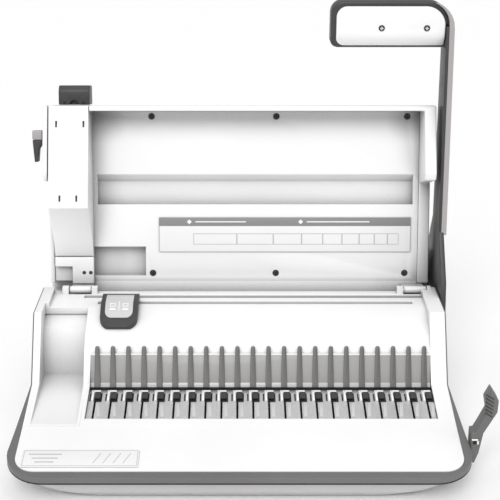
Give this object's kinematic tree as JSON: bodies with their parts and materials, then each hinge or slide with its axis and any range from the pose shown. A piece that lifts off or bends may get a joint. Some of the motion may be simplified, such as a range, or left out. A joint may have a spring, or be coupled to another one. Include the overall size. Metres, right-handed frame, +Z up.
{
  "type": "comb binding machine",
  "caption": "Desk-top manual comb binder: sloped base with steel comb tines and pit, deep open lid with stapling unit, side handle that drives a punch.",
  "frame": {"origin": "middle of the bounding box on the table plane, lid open and handle raised", "axes": "+X to the operator's right, +Y to the back, +Z up"},
  "size_m": [0.418, 0.308, 0.381],
  "materials": {
    "hull_plastic": "fine textured light grey",
    "trim_plastic": "satin mid grey",
    "cover_plastic": "satin white",
    "frame_steel": "zinc plated",
    "screw_steel": "blackened cross head",
    "tine_steel": "satin",
    "back_plate": "satin light grey",
    "foot_rubber": "matte",
    "bush_plastic": "matte",
    "label_film": "printed film",
    "dark_plastic": "satin dark grey",
    "insert_plastic": "satin light grey",
    "grip_plastic": "satin white",
    "drawer_plastic": "satin"
  },
  "bodies": {
    "base": {"base_hull": "hull_plastic", "trim_band": "trim_plastic", "deck_cover": "cover_plastic", "rear_cover": "cover_plastic", "side_frame_left": "frame_steel", "side_frame_right": "frame_steel", "die_plate_front": "frame_steel", "die_plate_rear": "frame_steel", "hinge_pin_left": "frame_steel", "hinge_pin_right": "frame_steel", "guide_rail": "frame_steel", "slider_guide_left": "frame_steel", "slider_guide_right": "frame_steel", "tine_plate": "tine_steel", "pit_plate": "tine_steel", "tine_back_plate": "back_plate", "foot_1": "foot_rubber", "foot_2": "foot_rubber", "foot_3": "foot_rubber", "foot_4": "foot_rubber", "shaft_bush_left": "bush_plastic", "shaft_bush_right": "bush_plastic", "deck_label": "label_film"},
    "handle": {"handle_arm": "dark_plastic", "grip_shell": "dark_plastic", "grip_cover": "grip_plastic", "grip_screw_1": "screw_steel", "grip_screw_2": "screw_steel", "drive_shaft": "frame_steel", "cam_left": "frame_steel", "cam_right": "frame_steel", "handle_bolt": "frame_steel"},
    "lid": {"lid_shell": "cover_plastic", "lid_panel": "cover_plastic", "panel_screw_1": "screw_steel", "panel_screw_2": "screw_steel", "panel_screw_3": "screw_steel", "panel_screw_4": "screw_steel", "panel_screw_5": "screw_steel", "panel_screw_6": "screw_steel", "size_chart": "label_film", "hinge_arm_left": "cover_plastic", "hinge_arm_right": "cover_plastic", "stapler_housing": "cover_plastic", "stapler_bracket": "cover_plastic"},
    "magazine": {"staple_magazine": "frame_steel", "stapler_head": "dark_plastic"},
    "latch": {"stapler_latch": "dark_plastic", "latch_button": "grip_plastic"},
    "punch": {"punch_bar": "frame_steel"},
    "slider": {"comb_slider": "dark_plastic"},
    "lever": {"comb_lever": "dark_plastic", "lever_shaft": "frame_steel"},
    "guide": {"edge_guide": "dark_plastic", "edge_guide_insert": "insert_plastic"},
    "drawer": {"chip_drawer": "drawer_plastic"}
  },
  "joints": [
    {"name": "handle_fold", "type": "hinge", "parent": "base", "child": "handle", "pos_m": [0.1808, 0.128, 0.0982], "axis": [1, 0, 0], "range_deg": [0, 90]},
    {"name": "punch_stroke", "type": "slide", "parent": "base", "child": "punch", "axis": [0, -1, 0], "range_m": [0, 0.0121]},
    {"name": "lid_hinge", "type": "hinge", "parent": "base", "child": "lid", "pos_m": [-0.011, 0.066, 0.1075], "axis": [1, 0, 0], "range_deg": [0, 123]},
    {"name": "comb_lever_swing", "type": "hinge", "parent": "base", "child": "lever", "pos_m": [0.189, -0.104, 0.0235], "axis": [1, 0, 0], "range_deg": [0, 60]},
    {"name": "comb_slide", "type": "slide", "parent": "base", "child": "slider", "axis": [0, -0.9796, -0.2011], "range_m": [0, 0.0261]},
    {"name": "edge_guide_slide", "type": "slide", "parent": "base", "child": "guide", "axis": [1, 0, 0], "range_m": [-0.018, 0.27]},
    {"name": "chip_drawer_slide", "type": "slide", "parent": "base", "child": "drawer", "axis": [0, 1, 0], "range_m": [0, 0.09]},
    {"name": "magazine_slide", "type": "slide", "parent": "lid", "child": "magazine", "axis": [0, 0.2079, 0.9781], "range_m": [0, 0.05]},
    {"name": "latch_pull", "type": "hinge", "parent": "lid", "child": "latch", "pos_m": [-0.1994, 0.0983, 0.2596], "axis": [0, 0.9781, -0.2079], "range_deg": [0, 12], "stiffness_Nm_per_rad": 0.02}
  ],
  "couplings": [
    {"joint": "punch_stroke", "follows": "handle_fold", "m_per_rad": 0.0077},
    {"joint": "comb_slide", "follows": "comb_lever_swing", "m_per_rad": 0.0249}
  ]
}
